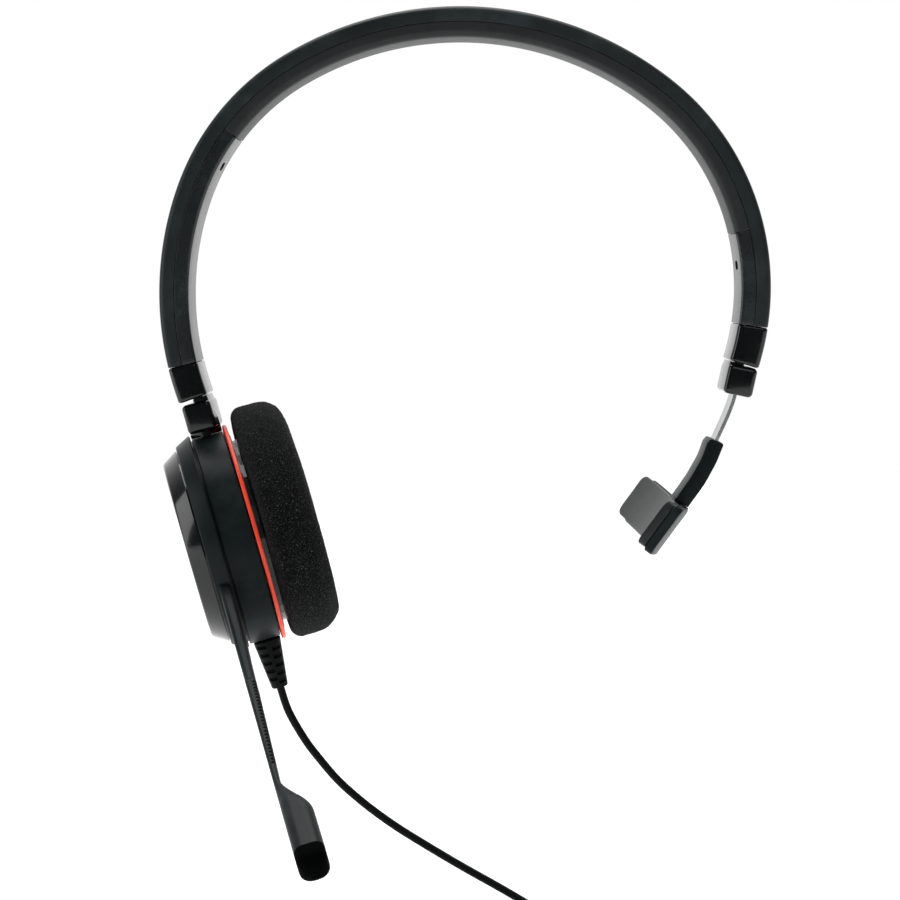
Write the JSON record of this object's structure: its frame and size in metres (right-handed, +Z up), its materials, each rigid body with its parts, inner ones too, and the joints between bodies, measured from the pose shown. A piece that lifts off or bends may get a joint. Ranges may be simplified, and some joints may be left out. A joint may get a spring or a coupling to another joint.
{
  "type": "office headset",
  "caption": "Corded office headset: sprung headband, foam-cushioned ear cup with a turning microphone boom, curved head rest, and a coiled cord with a computer plug.",
  "frame": {"origin": "on the underside of the crown pad, where the headset rests on the head", "axes": "+Z up, +X from the ear cup towards the head rest, -Y to the wearer's front, where the boom points"},
  "size_m": [0.1549, 0.1353, 0.2404],
  "materials": {
    "shell_black": "matte",
    "inner_black": "satin",
    "crown_pad": "matte",
    "pad_grey": "matte",
    "gloss_black": "gloss",
    "satin_black": "satin",
    "boom_grey": "satin",
    "foam_black": "matte",
    "trim_orange": "satin",
    "steel": "satin",
    "dark_steel": "satin",
    "rubber_black": "matte",
    "cloth_black": "matte",
    "board_green": "satin",
    "copper": "satin",
    "ferrite": "matte",
    "cone_paper": "matte",
    "plug_white": "satin"
  },
  "bodies": {
    "headband": {"headband_shell": "shell_black", "inner_cover_left": "inner_black", "inner_cover_right": "inner_black", "headband_pad": "crown_pad", "band_spring": "steel", "end_cap_left": "gloss_black", "end_cap_right": "gloss_black"},
    "cup_slider": {"cup_slider_strip": "dark_steel", "cup_slider_runner": "rubber_black", "cup_block": "gloss_black", "swivel_stem": "steel", "stem_clip": "steel"},
    "ear_cup": {"cup_housing": "satin_black", "outer_cap": "gloss_black", "hub_screw": "steel", "friction_washer": "steel", "trim_ring": "trim_orange", "baffle": "inner_black", "acoustic_cloth": "cloth_black", "cushion_clip": "inner_black", "ear_cushion": "foam_black", "speaker_frame": "dark_steel", "speaker_cone": "cone_paper", "voice_coil": "copper", "speaker_magnet": "ferrite", "circuit_board": "board_green", "strain_relief": "rubber_black", "cord": "rubber_black", "cord_coil": "rubber_black", "cord_tail": "rubber_black", "cord_tie": "cloth_black", "plug_relief": "rubber_black", "plug_grip": "satin_black", "plug_shell": "steel", "plug_tongue": "plug_white"},
    "boom": {"boom_ring": "satin_black", "boom_neck": "boom_grey", "mic_housing": "boom_grey", "mic_capsule": "steel", "mic_screen": "foam_black", "mic_grille": "rubber_black"},
    "bar_slider": {"bar_slider_strip": "dark_steel", "bar_slider_runner": "rubber_black", "bar_block": "gloss_black", "bar_arm": "satin_black", "bar_plate": "satin_black", "bar_pad": "pad_grey"}
  },
  "joints": [
    {"name": "cup_extend", "type": "hinge", "parent": "headband", "child": "cup_slider", "pos_m": [0.00508, 0, -0.06342], "axis": [0, -1, 0], "range_deg": [0, 15]},
    {"name": "cup_swivel", "type": "hinge", "parent": "cup_slider", "child": "ear_cup", "pos_m": [-0.0595, 0, -0.1198], "axis": [-0.1994, 0, 0.9799], "range_deg": [-12, 12]},
    {"name": "boom_turn", "type": "hinge", "parent": "ear_cup", "child": "boom", "pos_m": [-0.0595, 0, -0.1198], "axis": [-0.9692, -0.1478, -0.1972], "range_deg": [-206, 90]},
    {"name": "bar_extend", "type": "hinge", "parent": "headband", "child": "bar_slider", "pos_m": [0.01171, 0, -0.06236], "axis": [0, 1, 0], "range_deg": [0, 18]}
  ]
}
